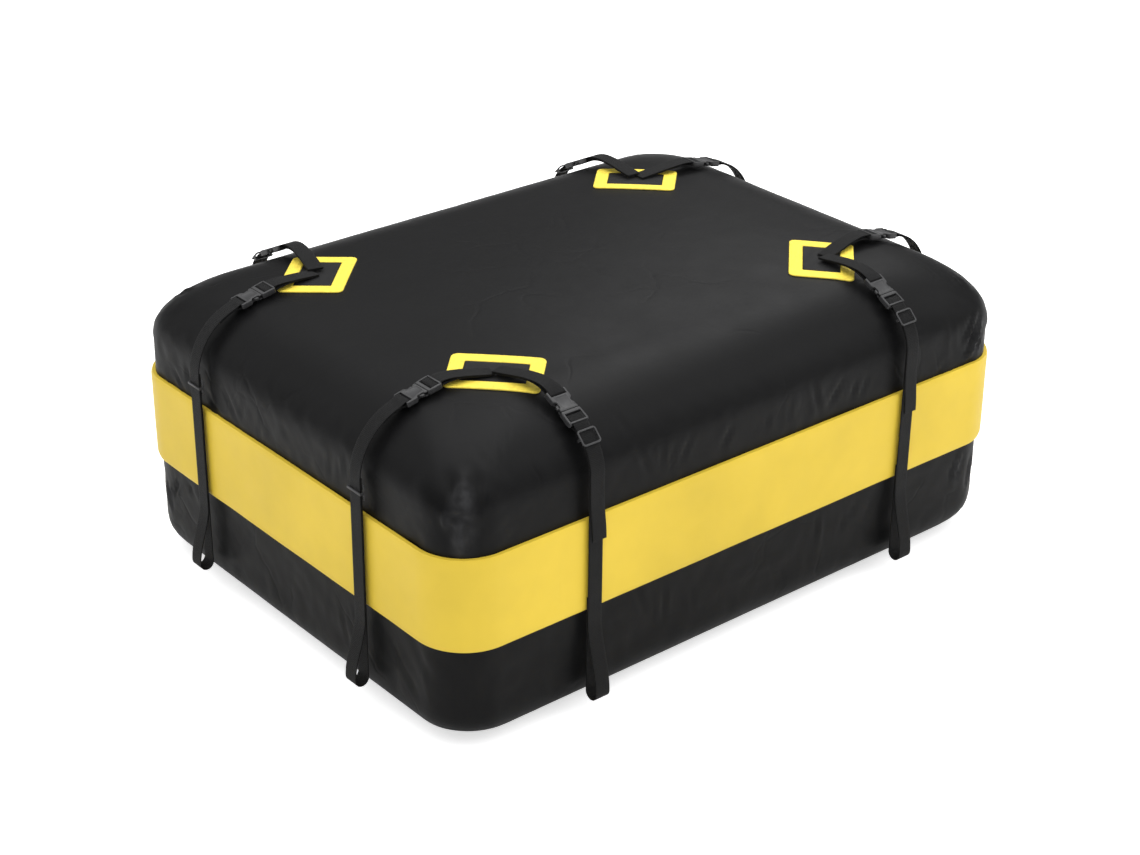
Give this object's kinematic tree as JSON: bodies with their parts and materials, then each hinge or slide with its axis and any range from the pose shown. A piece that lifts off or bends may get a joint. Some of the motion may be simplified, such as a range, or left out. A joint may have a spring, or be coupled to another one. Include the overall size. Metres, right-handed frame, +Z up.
{
  "type": "rooftop cargo carrier",
  "caption": "Soft roof bag of coated fabric with a zipped lid under a contrasting band, corner anchor patches and buckled tie-down straps with foot loops.",
  "frame": {"origin": "middle of the bag's flat underside, on the surface that it rests on", "axes": "+X along the long side towards the right end, +Y from the front long side to the hinged back, +Z up"},
  "size_m": [1.1576, 0.8786, 0.4812],
  "materials": {
    "tarpaulin": "black coated fabric, soft sheen",
    "yellow_fabric": "yellow coated fabric",
    "yellow_rubber": "yellow embossed rubber",
    "pad_fabric": "matte black coated fabric",
    "webbing": "black woven webbing",
    "buckle_plastic": "dark grey moulded plastic",
    "zip_coil": "black coil zip",
    "zip_metal": "dark painted metal"
  },
  "bodies": {
    "root": {"bag_tub": "tarpaulin", "bag_lid": "tarpaulin", "lid_hinge_strip": "tarpaulin", "zip_flap": "yellow_fabric", "zip_chain": "zip_coil", "anchor_patch_front_left": "yellow_rubber", "anchor_pad_front_left": "pad_fabric", "side_stub_front_left": "webbing", "side_socket_front_left": "buckle_plastic", "end_stub_front_left": "webbing", "end_plug_front_left": "buckle_plastic", "anchor_patch_front_right": "yellow_rubber", "anchor_pad_front_right": "pad_fabric", "side_stub_front_right": "webbing", "side_socket_front_right": "buckle_plastic", "end_stub_front_right": "webbing", "end_plug_front_right": "buckle_plastic", "anchor_patch_back_left": "yellow_rubber", "anchor_pad_back_left": "pad_fabric", "side_stub_back_left": "webbing", "side_socket_back_left": "buckle_plastic", "end_stub_back_left": "webbing", "end_plug_back_left": "buckle_plastic", "anchor_patch_back_right": "yellow_rubber", "anchor_pad_back_right": "pad_fabric", "side_stub_back_right": "webbing", "side_socket_back_right": "buckle_plastic", "end_stub_back_right": "webbing", "end_plug_back_right": "buckle_plastic"},
    "side_strap_front_left": {"side_plug_front_left": "buckle_plastic", "side_strap_front_left": "webbing"},
    "side_tri_glide_front_left": {"side_tri_glide_front_left": "buckle_plastic"},
    "end_strap_front_left": {"end_socket_front_left": "buckle_plastic", "end_strap_front_left": "webbing"},
    "end_tri_glide_front_left": {"end_tri_glide_front_left": "buckle_plastic"},
    "side_strap_front_right": {"side_plug_front_right": "buckle_plastic", "side_strap_front_right": "webbing"},
    "side_tri_glide_front_right": {"side_tri_glide_front_right": "buckle_plastic"},
    "end_strap_front_right": {"end_socket_front_right": "buckle_plastic", "end_strap_front_right": "webbing"},
    "end_tri_glide_front_right": {"end_tri_glide_front_right": "buckle_plastic"},
    "side_strap_back_left": {"side_plug_back_left": "buckle_plastic", "side_strap_back_left": "webbing"},
    "side_tri_glide_back_left": {"side_tri_glide_back_left": "buckle_plastic"},
    "end_strap_back_left": {"end_socket_back_left": "buckle_plastic", "end_strap_back_left": "webbing"},
    "end_tri_glide_back_left": {"end_tri_glide_back_left": "buckle_plastic"},
    "side_strap_back_right": {"side_plug_back_right": "buckle_plastic", "side_strap_back_right": "webbing"},
    "side_tri_glide_back_right": {"side_tri_glide_back_right": "buckle_plastic"},
    "end_strap_back_right": {"end_socket_back_right": "buckle_plastic", "end_strap_back_right": "webbing"},
    "end_tri_glide_back_right": {"end_tri_glide_back_right": "buckle_plastic"},
    "zip_slider_left": {"zip_slider_left": "zip_metal"},
    "zip_pull_left": {"zip_pull_left": "zip_metal"},
    "zip_slider_right": {"zip_slider_right": "zip_metal"},
    "zip_pull_right": {"zip_pull_right": "zip_metal"}
  },
  "joints": [
    {"name": "side_buckle_release_front_left", "type": "slide", "parent": "root", "child": "side_strap_front_left", "axis": [0, -0.891, -0.454], "range_m": [0, 0.03]},
    {"name": "side_tri_glide_front_left_travel", "type": "hinge", "parent": "side_strap_front_left", "child": "side_tri_glide_front_left", "pos_m": [-0.31, -0.3508, 0.3818], "axis": [1, 0, 0], "range_deg": [0, 35]},
    {"name": "end_buckle_release_front_left", "type": "slide", "parent": "root", "child": "end_strap_front_left", "axis": [-0.9781, 0, -0.2079], "range_m": [0, 0.03]},
    {"name": "end_tri_glide_front_left_travel", "type": "slide", "parent": "end_strap_front_left", "child": "end_tri_glide_front_left", "axis": [0, 0, -1], "range_m": [0, 0.17]},
    {"name": "side_buckle_release_front_right", "type": "slide", "parent": "root", "child": "side_strap_front_right", "axis": [0, -0.891, -0.454], "range_m": [0, 0.03]},
    {"name": "side_tri_glide_front_right_travel", "type": "hinge", "parent": "side_strap_front_right", "child": "side_tri_glide_front_right", "pos_m": [0.31, -0.3508, 0.3818], "axis": [1, 0, 0], "range_deg": [0, 35]},
    {"name": "end_buckle_release_front_right", "type": "slide", "parent": "root", "child": "end_strap_front_right", "axis": [0.9781, 0, -0.2079], "range_m": [0, 0.03]},
    {"name": "end_tri_glide_front_right_travel", "type": "slide", "parent": "end_strap_front_right", "child": "end_tri_glide_front_right", "axis": [0, 0, -1], "range_m": [0, 0.17]},
    {"name": "side_buckle_release_back_left", "type": "slide", "parent": "root", "child": "side_strap_back_left", "axis": [0, 0.891, -0.454], "range_m": [0, 0.03]},
    {"name": "side_tri_glide_back_left_travel", "type": "hinge", "parent": "side_strap_back_left", "child": "side_tri_glide_back_left", "pos_m": [-0.31, 0.3508, 0.3818], "axis": [-1, 0, 0], "range_deg": [0, 35]},
    {"name": "end_buckle_release_back_left", "type": "slide", "parent": "root", "child": "end_strap_back_left", "axis": [-0.9781, 0, -0.2079], "range_m": [0, 0.03]},
    {"name": "end_tri_glide_back_left_travel", "type": "slide", "parent": "end_strap_back_left", "child": "end_tri_glide_back_left", "axis": [0, 0, -1], "range_m": [0, 0.17]},
    {"name": "side_buckle_release_back_right", "type": "slide", "parent": "root", "child": "side_strap_back_right", "axis": [0, 0.891, -0.454], "range_m": [0, 0.03]},
    {"name": "side_tri_glide_back_right_travel", "type": "hinge", "parent": "side_strap_back_right", "child": "side_tri_glide_back_right", "pos_m": [0.31, 0.3508, 0.3818], "axis": [-1, 0, 0], "range_deg": [0, 35]},
    {"name": "end_buckle_release_back_right", "type": "slide", "parent": "root", "child": "end_strap_back_right", "axis": [0.9781, 0, -0.2079], "range_m": [0, 0.03]},
    {"name": "end_tri_glide_back_right_travel", "type": "slide", "parent": "end_strap_back_right", "child": "end_tri_glide_back_right", "axis": [0, 0, -1], "range_m": [0, 0.17]},
    {"name": "zip_slider_left_travel", "type": "slide", "parent": "root", "child": "zip_slider_left", "axis": [-1, 0, 0], "range_m": [0, 0.44]},
    {"name": "zip_pull_left_hinge", "type": "hinge", "parent": "zip_slider_left", "child": "zip_pull_left", "pos_m": [-0.0068, -0.4084, 0.23775], "axis": [1, 0, 0], "range_deg": [-2, 5]},
    {"name": "zip_slider_right_travel", "type": "slide", "parent": "root", "child": "zip_slider_right", "axis": [1, 0, 0], "range_m": [0, 0.44]},
    {"name": "zip_pull_right_hinge", "type": "hinge", "parent": "zip_slider_right", "child": "zip_pull_right", "pos_m": [0.0068, -0.4084, 0.23775], "axis": [1, 0, 0], "range_deg": [-2, 5]}
  ]
}
